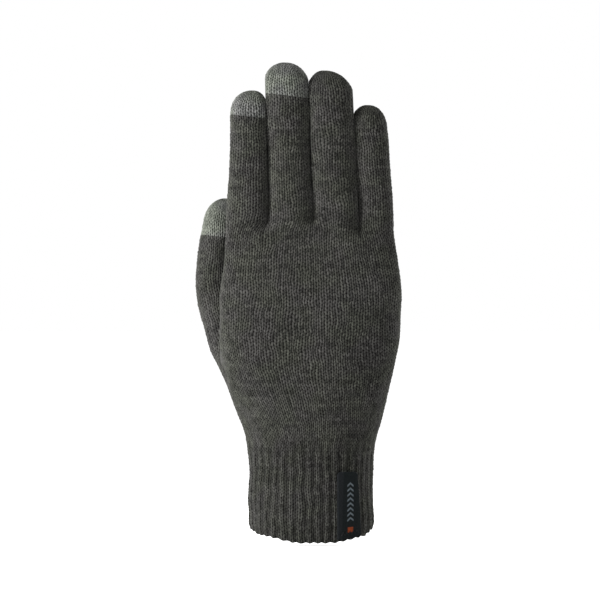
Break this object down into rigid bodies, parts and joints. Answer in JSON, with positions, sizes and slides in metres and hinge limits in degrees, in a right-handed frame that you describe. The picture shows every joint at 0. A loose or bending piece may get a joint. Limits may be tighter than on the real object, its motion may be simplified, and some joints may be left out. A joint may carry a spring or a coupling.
{
  "type": "knitted touchscreen glove",
  "caption": "Five-finger heather knit glove with a ribbed elastic cuff, a folded side label and conductive caps on the thumb, index and middle fingertips.",
  "frame": {"origin": "on the cuff's lowest rim, in the middle of its wall at the middle of the back of the hand", "axes": "+Z from the cuff to the fingertips, -Y is the back of the hand and +Y the palm, +X is the little-finger side and the thumb is at -X"},
  "size_m": [0.1041, 0.066, 0.2399],
  "materials": {
    "heather_yarn": "matt heather knit",
    "conductive_yarn": "matt conductive knit",
    "elastic": "covered elastic thread",
    "ribbon": "woven satin ribbon",
    "thread": "sewing thread"
  },
  "bodies": {
    "hand": {"ribbed_cuff": "heather_yarn", "lower_palm": "heather_yarn", "upper_palm": "heather_yarn", "cuff_elastic": "elastic", "woven_label": "ribbon", "label_stitching": "thread"},
    "index_lower": {"index_lower_tube": "heather_yarn"},
    "index_middle": {"index_middle_tube": "heather_yarn"},
    "index_tip": {"index_end_tube": "heather_yarn", "index_touch_cap": "conductive_yarn"},
    "middle_lower": {"middle_lower_tube": "heather_yarn"},
    "middle_middle": {"middle_middle_tube": "heather_yarn"},
    "middle_tip": {"middle_end_tube": "heather_yarn", "middle_touch_cap": "conductive_yarn"},
    "ring_lower": {"ring_lower_tube": "heather_yarn"},
    "ring_middle": {"ring_middle_tube": "heather_yarn"},
    "ring_tip": {"ring_end_tube": "heather_yarn"},
    "little_lower": {"little_lower_tube": "heather_yarn"},
    "little_middle": {"little_middle_tube": "heather_yarn"},
    "little_tip": {"little_end_tube": "heather_yarn"},
    "thumb_lower": {"thumb_lower_tube": "heather_yarn"},
    "thumb_middle": {"thumb_middle_tube": "heather_yarn"},
    "thumb_tip": {"thumb_end_tube": "heather_yarn", "thumb_touch_cap": "conductive_yarn"}
  },
  "joints": [
    {"name": "index_knuckle", "type": "hinge", "parent": "hand", "child": "index_lower", "pos_m": [-0.03233, 0.02079, 0.168], "axis": [-0.9986, 0, -0.0523], "range_deg": [-10, 70], "stiffness_Nm_per_rad": 0.02},
    {"name": "index_middle_joint", "type": "hinge", "parent": "index_lower", "child": "index_middle", "pos_m": [-0.03217, 0.02116, 0.18508], "axis": [-0.9986, 0, -0.0523], "range_deg": [0, 85], "stiffness_Nm_per_rad": 0.012},
    {"name": "index_end_joint", "type": "hinge", "parent": "index_middle", "child": "index_tip", "pos_m": [-0.03199, 0.0216, 0.20488], "axis": [-0.9986, 0, -0.0523], "range_deg": [0, 45], "stiffness_Nm_per_rad": 0.008},
    {"name": "middle_knuckle", "type": "hinge", "parent": "hand", "child": "middle_lower", "pos_m": [-0.01102, 0.02083, 0.1705], "axis": [-0.9986, 0, -0.0523], "range_deg": [-10, 70], "stiffness_Nm_per_rad": 0.02},
    {"name": "middle_middle_joint", "type": "hinge", "parent": "middle_lower", "child": "middle_middle", "pos_m": [-0.01136, 0.02134, 0.19195], "axis": [-0.9986, 0, -0.0523], "range_deg": [0, 85], "stiffness_Nm_per_rad": 0.012},
    {"name": "middle_end_joint", "type": "hinge", "parent": "middle_middle", "child": "middle_tip", "pos_m": [-0.01172, 0.02189, 0.2152], "axis": [-0.9986, 0, -0.0523], "range_deg": [0, 45], "stiffness_Nm_per_rad": 0.008},
    {"name": "ring_knuckle", "type": "hinge", "parent": "hand", "child": "ring_lower", "pos_m": [0.01133, 0.02084, 0.169], "axis": [-0.9986, 0, -0.0523], "range_deg": [-10, 70], "stiffness_Nm_per_rad": 0.02},
    {"name": "ring_middle_joint", "type": "hinge", "parent": "ring_lower", "child": "ring_middle", "pos_m": [0.01089, 0.02134, 0.1895], "axis": [-0.9986, 0, -0.0523], "range_deg": [0, 85], "stiffness_Nm_per_rad": 0.012},
    {"name": "ring_end_joint", "type": "hinge", "parent": "ring_middle", "child": "ring_tip", "pos_m": [0.01041, 0.02189, 0.212], "axis": [-0.9986, 0, -0.0523], "range_deg": [0, 45], "stiffness_Nm_per_rad": 0.008},
    {"name": "little_knuckle", "type": "hinge", "parent": "hand", "child": "little_lower", "pos_m": [0.03196, 0.02073, 0.166], "axis": [-0.9986, 0, -0.0523], "range_deg": [-10, 70], "stiffness_Nm_per_rad": 0.02},
    {"name": "little_middle_joint", "type": "hinge", "parent": "little_lower", "child": "little_middle", "pos_m": [0.03111, 0.02108, 0.18137], "axis": [-0.9986, 0, -0.0523], "range_deg": [0, 85], "stiffness_Nm_per_rad": 0.012},
    {"name": "little_end_joint", "type": "hinge", "parent": "little_middle", "child": "little_tip", "pos_m": [0.03009, 0.02151, 0.19982], "axis": [-0.9986, 0, -0.0523], "range_deg": [0, 45], "stiffness_Nm_per_rad": 0.008},
    {"name": "thumb_base", "type": "hinge", "parent": "hand", "child": "thumb_lower", "pos_m": [-0.04302, 0.04079, 0.10234], "axis": [-0.1176, -0.934, 0.3374], "range_deg": [-15, 35], "stiffness_Nm_per_rad": 0.02},
    {"name": "thumb_knuckle", "type": "hinge", "parent": "thumb_lower", "child": "thumb_middle", "pos_m": [-0.04417, 0.04764, 0.12471], "axis": [-0.0488, -0.9687, 0.2432], "range_deg": [-45, 5], "stiffness_Nm_per_rad": 0.015},
    {"name": "thumb_end_joint", "type": "hinge", "parent": "thumb_middle", "child": "thumb_tip", "pos_m": [-0.04556, 0.05219, 0.14368], "axis": [0.0182, -0.9831, 0.1821], "range_deg": [-60, 5], "stiffness_Nm_per_rad": 0.01}
  ],
  "couplings": [
    {"joint": "index_end_joint", "follows": "index_middle_joint", "ratio": 0.52941},
    {"joint": "middle_end_joint", "follows": "middle_middle_joint", "ratio": 0.52941},
    {"joint": "ring_end_joint", "follows": "ring_middle_joint", "ratio": 0.52941},
    {"joint": "little_end_joint", "follows": "little_middle_joint", "ratio": 0.52941}
  ]
}
